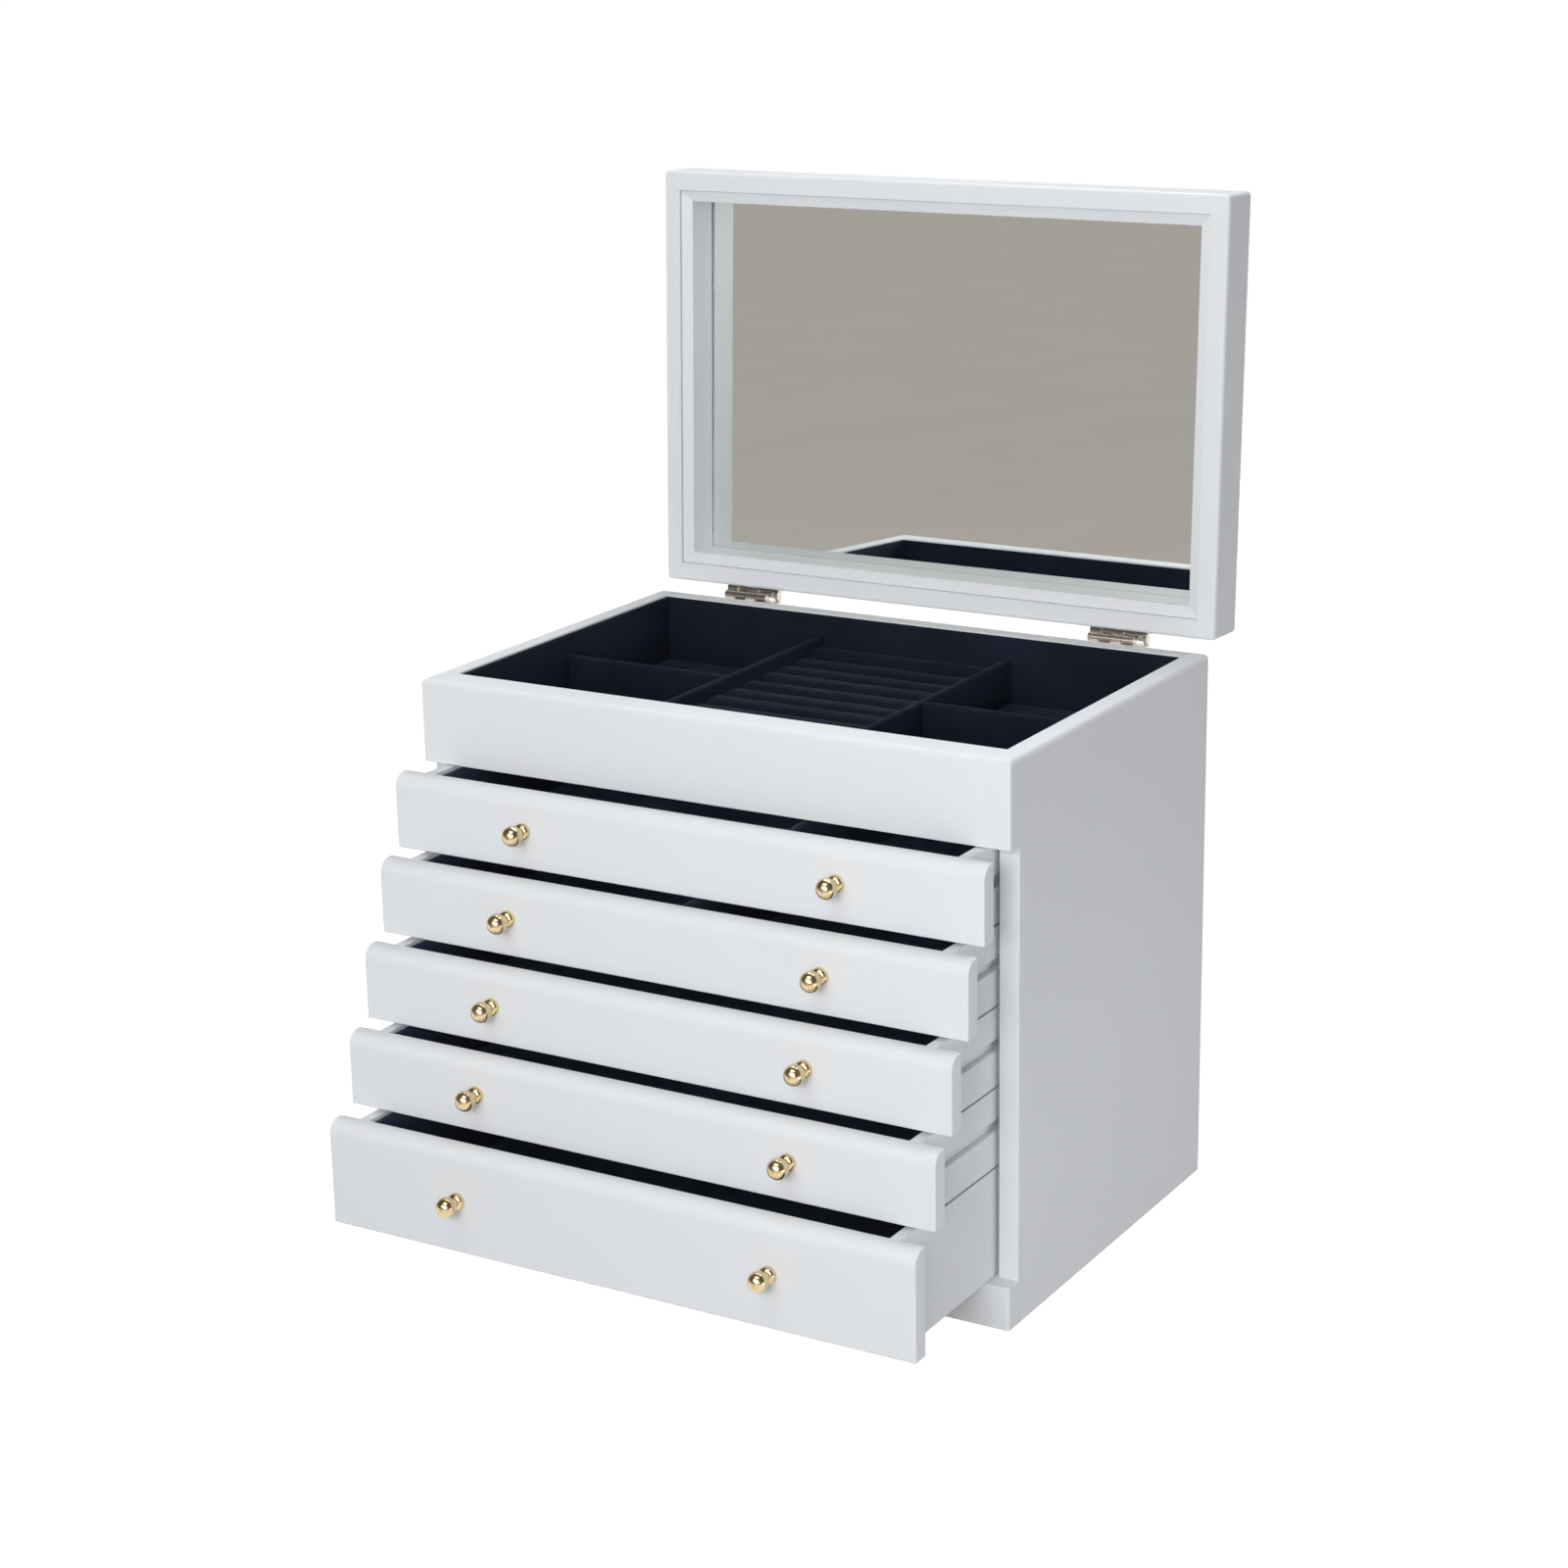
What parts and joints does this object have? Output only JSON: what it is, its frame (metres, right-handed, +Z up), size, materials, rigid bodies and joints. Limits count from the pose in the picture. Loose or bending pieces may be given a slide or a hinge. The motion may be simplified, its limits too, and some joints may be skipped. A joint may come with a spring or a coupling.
{
  "type": "jewellery chest",
  "caption": "Upright painted box with a hinged mirror lid over a velvet-lined top tray with ring rolls, and a stack of sliding drawers with ball knobs",
  "frame": {"origin": "centre of the carcass base, on the surface it stands on", "axes": "+X to the chest's right as its front is seen, the drawer fronts face -Y, +Z up"},
  "size_m": [0.38, 0.4277, 0.5878],
  "materials": {
    "white_paint": "satin off-white paint on fibreboard",
    "plain_board": "bare thin board",
    "runner_wood": "bare hardwood strip",
    "navy_velvet": "short-pile dark navy velvet",
    "polished_brass": "polished",
    "nickel": "warm bright nickel plate on steel",
    "mirror_glass": "back-silvered glass"
  },
  "bodies": {
    "carcass": {"side_panel_left": "white_paint", "side_panel_right": "white_paint", "front_fascia": "white_paint", "fascia_backing": "white_paint", "plinth_rail": "white_paint", "back_panel": "white_paint", "bottom_board": "white_paint", "base_panel": "white_paint", "tray_floor": "plain_board", "drawer_runners": "runner_wood", "tray_lining": "navy_velvet", "tray_divider_left": "navy_velvet", "tray_divider_right": "navy_velvet", "tray_cross_dividers": "navy_velvet", "ring_roll_pad": "navy_velvet", "hinge_leaf_carcass_left": "nickel", "hinge_leaf_carcass_right": "nickel", "hinge_pins": "nickel", "hinge_screws_carcass": "nickel"},
    "lid": {"lid_front_rail": "white_paint", "lid_back_rail": "white_paint", "lid_side_rails": "white_paint", "lid_top_panel": "white_paint", "mirror_moulding": "white_paint", "mirror": "mirror_glass", "hinge_leaf_lid_left": "nickel", "hinge_leaf_lid_right": "nickel", "hinge_screws_lid": "nickel"},
    "drawer_1": {"drawer_1_front": "white_paint", "drawer_1_sides": "white_paint", "drawer_1_back": "white_paint", "drawer_1_bottom": "plain_board", "drawer_1_lining": "navy_velvet", "drawer_1_knobs": "polished_brass", "drawer_1_divider": "navy_velvet"},
    "drawer_2": {"drawer_2_front": "white_paint", "drawer_2_sides": "white_paint", "drawer_2_back": "white_paint", "drawer_2_bottom": "plain_board", "drawer_2_lining": "navy_velvet", "drawer_2_knobs": "polished_brass", "drawer_2_divider": "navy_velvet"},
    "drawer_3": {"drawer_3_front": "white_paint", "drawer_3_sides": "white_paint", "drawer_3_back": "white_paint", "drawer_3_bottom": "plain_board", "drawer_3_lining": "navy_velvet", "drawer_3_knobs": "polished_brass"},
    "drawer_4": {"drawer_4_front": "white_paint", "drawer_4_sides": "white_paint", "drawer_4_back": "white_paint", "drawer_4_bottom": "plain_board", "drawer_4_lining": "navy_velvet", "drawer_4_knobs": "polished_brass"},
    "drawer_5": {"drawer_5_front": "white_paint", "drawer_5_sides": "white_paint", "drawer_5_back": "white_paint", "drawer_5_bottom": "plain_board", "drawer_5_lining": "navy_velvet", "drawer_5_knobs": "polished_brass"}
  },
  "joints": [
    {"name": "lid_hinge", "type": "hinge", "parent": "carcass", "child": "lid", "pos_m": [0, 0.1346, 0.3245], "axis": [1, 0, 0], "range_deg": [0, 92.1]},
    {"name": "drawer_1_slide", "type": "slide", "parent": "carcass", "child": "drawer_1", "axis": [0, -1, 0], "range_m": [-0.029, 0.151]},
    {"name": "drawer_2_slide", "type": "slide", "parent": "carcass", "child": "drawer_2", "axis": [0, -1, 0], "range_m": [-0.047, 0.133]},
    {"name": "drawer_3_slide", "type": "slide", "parent": "carcass", "child": "drawer_3", "axis": [0, -1, 0], "range_m": [-0.0655, 0.1145]},
    {"name": "drawer_4_slide", "type": "slide", "parent": "carcass", "child": "drawer_4", "axis": [0, -1, 0], "range_m": [-0.084, 0.096]},
    {"name": "drawer_5_slide", "type": "slide", "parent": "carcass", "child": "drawer_5", "axis": [0, -1, 0], "range_m": [-0.106, 0.074]}
  ]
}
